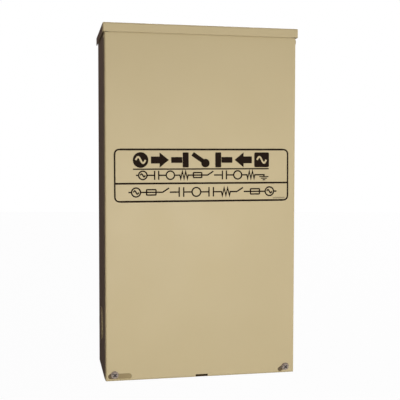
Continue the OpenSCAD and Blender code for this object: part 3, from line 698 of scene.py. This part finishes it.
def cable_ties():
    """Nylon ties round the three wires of the loom."""
    bm = bmesh.new()
    inner_wire, outer_wire, reach = Vector((-112, -20)), Vector((-118, -28)), 1.9
    along = (outer_wire - inner_wire).normalized()
    out = Vector((-along.y, along.x))
    turns = [math.pi / 8 * k - math.pi / 2 for k in range(9)]
    loop = [outer_wire + along * reach * math.cos(t) + out * reach * math.sin(t) for t in turns]
    loop += [inner_wire - along * reach * math.cos(t) - out * reach * math.sin(t) for t in turns]
    for z in (-92, -52, -12):
        sweep(bm, [(p.x, p.y, z) for p in loop], box_outline(3.0, 1.0, 0.2),
              across=(0, 0, 1), closed=True)
        block(bm, (-121.8, -27.6, z - 2.3), (-118.2, -23.4, z + 2.3), 0.5)
    piece("cable_ties", bm, MATERIALS["white_nylon"], "enclosure")


def braided_links():
    """Flexible copper braids from the load bars to the moving arms."""
    edge = 7
    for tag, x in (("left", lowest("load_bars")[0] + edge),
                   ("right", highest("load_bars")[0] - edge)):
        bm = bmesh.new()
        path = smooth_path([(x, -31.4, 3), (x, -31.4, 20), (x, -45, 27), (x, -59.5, 40),
                            (x, -62.5, 50), (x, -72.5, 57.2)], 9.0, 8)
        sweep(bm, path, box_outline(11.0, 2.2, 0.5), across=(1, 0, 0))
        braid = piece("braid_" + tag, bm, MATERIALS["copper_braid"], None)
        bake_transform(braid)
        bm = bmesh.new()
        lathe(bm, [(0, 4.4), (0.2, 4.6), (2.4, 4.6), (2.8, 4.2)], (x, -32.4, 9), (0, -1, 0), 6)
        piece("braid_bolt_" + tag, bm, MATERIALS["zinc_plate"], "enclosure")


# ---------- small hardware ----------

# Middle of the right cover screw; the left one mirrors it
SCREW_X, _, SCREW_Z = middle("cover_screw_right")


def helix_thread(bm, base, length):
    """The thread of a 7 mm screw: a ridge wound round its shank along +Y."""
    core, crest, pitch, sides = 3.05, 3.5, 1.0, 20
    axis = Vector((0, 1, 0))
    u = axis.orthogonal().normalized()
    v = axis.cross(u)
    turns = length / pitch
    count = int(turns * sides)
    rings = []
    for i in range(count + 1):
        turn = 2 * math.pi * i / sides
        out = u * math.cos(turn) + v * math.sin(turn)
        fade = min(1.0, i / sides, (count - i) / sides)
        top = core + (crest - core) * max(0.05, fade)
        spot = Vector(base) + axis * pitch * i / sides
        rings.append([bm.verts.new((spot + axis * d + out * r) * MM)
                      for d, r in ((-0.4 * pitch, core), (0.0, top), (0.4 * pitch, core))])
    bridge(bm, rings)


def plus_outline(reach, half):
    """A plus sign turned by 45 degrees."""
    arm = [(reach, -half), (reach, half), (half, half)]
    points = []
    for quarter in range(4):
        turn = math.pi / 2 * quarter + math.pi / 4
        cos, sin = math.cos(turn), math.sin(turn)
        points += [(a * cos - b * sin, a * sin + b * cos) for a, b in arm]
    return points


def screw_threads():
    """Black cross of painted shade in the recess of each cover screw, its thread, and the threads
    of the four studs.
    """
    head = FACE - 2.4
    for side, tag in ((-1, "left"), (1, "right")):
        bm = bmesh.new()
        # A black plate at the bottom of the cross recess paints the recess's shade.
        plate(bm, [(side * SCREW_X + a, SCREW_Z + b) for a, b in plus_outline(3.7, 0.92)],
              head, head + 0.35)
        piece("cover_screw_recess_painted_shade_" + tag, bm, MATERIALS["black_moulding"],
              "screw_" + tag)
        bm = bmesh.new()
        helix_thread(bm, (side * SCREW_X, FACE + 2.4, SCREW_Z), 10.6)
        piece("cover_screw_thread_" + tag, bm, MATERIALS["zinc_plate"],
              "screw_" + tag)
    bm = bmesh.new()
    for x in (-116, 116):
        for z in (-176, 191):
            helix_thread(bm, (x, -22.6, z), 2.6)
    piece("stud_threads", bm, MATERIALS["zinc_plate"], "enclosure")


def rectifier_tabs():
    """Four push-on blades round the middle screw of each of the two rectifiers."""
    bm = bmesh.new()
    near, z, half_width = lowest("rectifiers")[1], middle("rectifiers")[2], 14
    for x in (lowest("rectifiers")[0] + half_width, highest("rectifiers")[0] - half_width):
        for dx in (-8.5, 8.5):
            for dz in (-8.5, 8.5):
                block(bm, (x + dx - 0.4, near - 9.5, z + dz - 3),
                      (x + dx + 0.4, near + 0.2, z + dz + 3), 0.25)
        lathe(bm, [(0, 3.6), (0.6, 4.2), (2.0, 4.0), (2.6, 3.0)], (x, near, z), (0, -1, 0), 20)
    piece("rectifier_tabs", bm, MATERIALS["lug_aluminium"], "enclosure")


def relay_inside():
    """Armature, contact leaf and contacts seen through the relay's clear cover."""
    bm = bmesh.new()
    block(bm, (-113, -64.4, -163.5), (-97, -63.2, -140), 0.25)
    block(bm, (-113, -63.4, -163.9), (-97, -27, -162.7), 0.25)
    piece("relay_armature", bm, MATERIALS["plain_steel"], "enclosure")
    bm = bmesh.new()
    for x in (-110, -100):
        block(bm, (x - 2.5, -66.4, -141), (x + 2.5, -65.8, -134.5), 0.15)
        block(bm, (x - 2.5, -66.2, -135.6), (x + 2.5, -27, -135.0), 0.15)
        lathe(bm, [(0, 1.9), (0.5, 2.1), (1.0, 1.6)], (x, -65.8, -137.6), (0, 1, 0), 16)
    piece("relay_contacts", bm, MATERIALS["copper"], "enclosure")


def coil_tags():
    """Tinned solder tags on the outer bobbin flanges."""
    bm = bmesh.new()
    for x, y, z, way in ((-68, -60, 141.8, 1), (-43, -60, -51.8, -1), (-35, -52, -51.8, -1)):
        lathe(bm, [(0, 1.9), (2.2, 1.9), (3.2, 1.5)], (x, y, z), (0, 0, way), 14)
    piece("coil_tags", bm, MATERIALS["lug_aluminium"], "enclosure")


def knockout_blanks():
    """Blanks of the side and bottom knockouts: low raised discs with a ring sunk in each."""
    profile = [(-0.3, 30.2), (0.0, 30.2), (0.3, 30.1), (2.3, 29.2), (2.65, 28.7), (2.8, 27.8),
               (2.8, 19.3), (2.2, 19.0), (2.2, 18.2), (2.8, 17.9), (2.8, 4.0)]
    side_x, bottom_z = highest("back_shell")[0], lowest("bottom_end_wall")[2]
    side_z = lowest("front_cover")[2] + 85
    bm = bmesh.new()
    for way in (-1, 1):
        lathe(bm, profile, (way * side_x, -73, side_z), (way, 0, 0), 72)
        lathe(bm, profile, (way * 95, -78, bottom_z), (0, 0, -1), 72)
    piece("knockout_blanks", bm, MATERIALS["enclosure_paint"], "enclosure", 18.0)


# ---------- labels inside ----------

def wiring_chart():
    """Line diagram inside the cover, upright once it is open: two sources, switch and load."""
    sheet = 1.5
    y = FACE + sheet
    bm = bmesh.new()
    plate(bm, rounded_box(-90, -95, 90, 75, 3.0), y, y + 0.15)
    piece("chart_paper", bm, MATERIALS["label_paper"], "cover")
    bm = bmesh.new()
    layer = itertools.count()

    def line(points, width=1.4, closed=False):
        """A printed line, a little thicker than the last so that no two faces coincide."""
        far = y + 0.24 + 0.003 * next(layer)
        stroke(bm, [(-x, -20 - z) for x, z in points], width, y + 0.12, far, closed=closed)

    line(rounded_box(-85, -90, 85, 70, 3.0), 0.9, True)
    for cx in (-55, 55):
        line(circle(cx, 45, 13), 1.6, True)
        line(wave_mark(cx, 45, 7.5, 4.5), 1.4)
        line([(cx, 32), (cx, 12)])
        line(circle(cx, 9, 3), 1.4, True)
    line([(-52, 9), (-22, 9)])
    line([(52, 9), (22, 9)])
    line(circle(0, -12, 3), 1.4, True)
    line([(-1.5, -9.5), (-19, 9)], 2.2)
    line(rounded_box(-32, -22, 32, 20, 2.0), 0.9, True)
    line([(0, -15), (0, -40)])
    line([(0, -40), (-14, -40), (-14, -52)])
    line([(0, -40), (14, -40), (14, -52)])
    for cx in (-14, 14):
        line(rounded_box(cx - 5, -66, cx + 5, -52, 1.0, 2), 1.2, True)
        line([(cx, -66), (cx, -78)])
    for k, half in enumerate((7, 4.5, 2)):
        line([(55 - half, -70 - 4 * k), (55 + half, -70 - 4 * k)], 1.4)
    line([(55, -55), (55, -70)])
    for k in range(5):
        line([(-78, -50 - 7 * k), (-40 - (k % 3) * 7, -50 - 7 * k)], 1.8)
    piece("chart_lines", bm, INK, "cover")


def ground_mark():
    """Green disc with the earth symbol, below the ground bar."""
    x, z, ys = middle("ground_bar")[0], lowest("ground_bar")[2] - 16, (-1.88, -1.7)
    bm = bmesh.new()
    plate(bm, circle(x, z, 8.5), -1.75, -1.45)
    piece("ground_disc", bm, MATERIALS["green_label"], "enclosure")
    bm = bmesh.new()
    stroke(bm, circle(x, z, 6.8), 0.8, *ys, closed=True)
    stroke(bm, [(x, z + 5), (x, z + 0.5)], 1.0, *ys)
    for k, half in enumerate((4.2, 2.7, 1.2)):
        level = z + 0.5 - 1.7 * k
        stroke(bm, [(x - half, level), (x + half, level)], 0.9, *ys)
    piece("ground_lines", bm, MATERIALS["label_paper"], "enclosure")


def dress_cad_nodes():
    """Gives each CAD node the material of its slot; the cover screws are darker."""
    for part in frame["record"]["subparts"]:
        mesh = frame["nodes"][part["node"]].data
        mesh.materials.clear()
        smoked = part["node"].startswith("cover_screw")
        mesh.materials.append(MATERIALS["smoked_zinc" if smoked else part["material_slot"]])


# ---------- stage, camera and light ----------

def make_camera():
    """The camera stands left of the object, a little above the cover's middle."""
    data = bpy.data.cameras.new("camera")
    data.sensor_width = 36.0
    data.lens = 69.3
    cam = bpy.data.objects.new("camera", data)
    bpy.context.scene.collection.objects.link(cam)
    cover_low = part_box("front_cover")[0]
    cam.location = (-0.2615, cover_low.y - 1.3087, cover_low.z + 0.3717)
    yaw, pitch, roll = (math.radians(a) for a in (11.149, 2.632, 0.086))
    cam.rotation_euler = (Matrix.Rotation(-yaw, 3, "Z")
                          @ Matrix.Rotation(math.pi / 2 - pitch, 3, "X")
                          @ Matrix.Rotation(roll, 3, "Z")).to_euler()
    data.clip_end = 50.0
    bpy.context.scene.camera = cam


def softbox(name, place, aim, size, power, colour=(1, 1, 1)):
    """A rectangular lamp, aimed at a point and hidden from the camera."""
    data = bpy.data.lights.new(name, "AREA")
    data.shape = "RECTANGLE"
    data.size, data.size_y = size
    data.energy = power
    data.color = colour
    lamp = bpy.data.objects.new(name, data)
    lamp.location = place
    lamp.rotation_euler = (Vector(aim) - Vector(place)).to_track_quat("-Z", "Y").to_euler()
    lamp.visible_camera = False
    bpy.context.scene.collection.objects.link(lamp)


def make_world():
    """White behind the object. Its light fades towards -X, where the studio is dark."""
    world = bpy.data.worlds.new("studio")
    world.use_nodes = True
    bpy.context.scene.world = world
    g = Graph(world.node_tree)
    lit = world.node_tree.nodes["Background"]
    out = world.node_tree.nodes["World Output"]
    axes = g.add("ShaderNodeSeparateXYZ")
    g.link(g.add("ShaderNodeTexCoord").outputs["Generated"], axes.inputs[0])
    side = g.math("ADD", g.math("MULTIPLY", axes.outputs["X"], 0.5), 0.5)
    g.link(g.ramp(side, [(0.0, (0.045, 0.036, 0.05)), (0.5, (0.055, 0.041, 0.053)),
                         (0.6, (0.28, 0.27, 0.28)), (0.8, 0.62), (1.0, 0.7)]),
           lit.inputs["Color"])
    lit.inputs["Strength"].default_value = 1.0
    white = g.add("ShaderNodeBackground", Color=(1, 1, 1, 1), Strength=1.0)
    pick = g.add("ShaderNodeMixShader")
    g.link(g.add("ShaderNodeLightPath").outputs["Is Camera Ray"], pick.inputs[0])
    g.link(lit.outputs[0], pick.inputs[1])
    g.link(white.outputs[0], pick.inputs[2])
    g.link(pick.outputs[0], out.inputs["Surface"])


def make_floor():
    """A pale floor well below the wall-hung case."""
    bpy.ops.mesh.primitive_plane_add(size=120.0, location=(0, 0, -3.0))
    floor = bpy.context.object
    floor.name = "floor"
    mat, g, bsdf = material("pale_floor", Roughness=0.9)
    bsdf.inputs["Base Color"].default_value = (0.12, 0.12, 0.12, 1)
    bsdf.inputs["Emission Color"].default_value = (1, 1, 1, 1)
    bsdf.inputs["Emission Strength"].default_value = 0.94
    floor.data.materials.append(mat)
    floor.visible_diffuse = False
    floor.visible_glossy = False


def make_lights():
    """A broad key in front, a fill for the cover's middle, one at the left and one behind."""
    warm, rose = (1, 0.985, 0.96), (1, 0.8, 1)
    softbox("key", (0.6, -2.6, -0.12), (0.2, -0.1, -0.12), (3.4, 2.8), 38.4, warm)
    softbox("near_fill", (-0.03, -1.0, -0.07), (-0.03, -0.1, -0.07), (0.7, 0.4), 2.55, warm)
    softbox("left_fill", (-0.9, -0.2, 0.95), (-0.15, -0.08, 0.1), (0.4, 0.4), 0.75, rose)
    softbox("back_fill", (0.9, 2.2, 2.1), (0, 0, 0.1), (1.6, 1.6), 60.0)
    bpy.context.scene.view_settings.view_transform = "Standard"


make_camera()
make_world()
make_floor()
make_lights()
dress_cad_nodes()
printed_legend()
painted_pressing_shadows()
painted_notch_shadows()
control_wiring()
braided_links()
screw_threads()
rectifier_tabs()
relay_inside()
coil_tags()
knockout_blanks()
wiring_chart()
ground_mark()
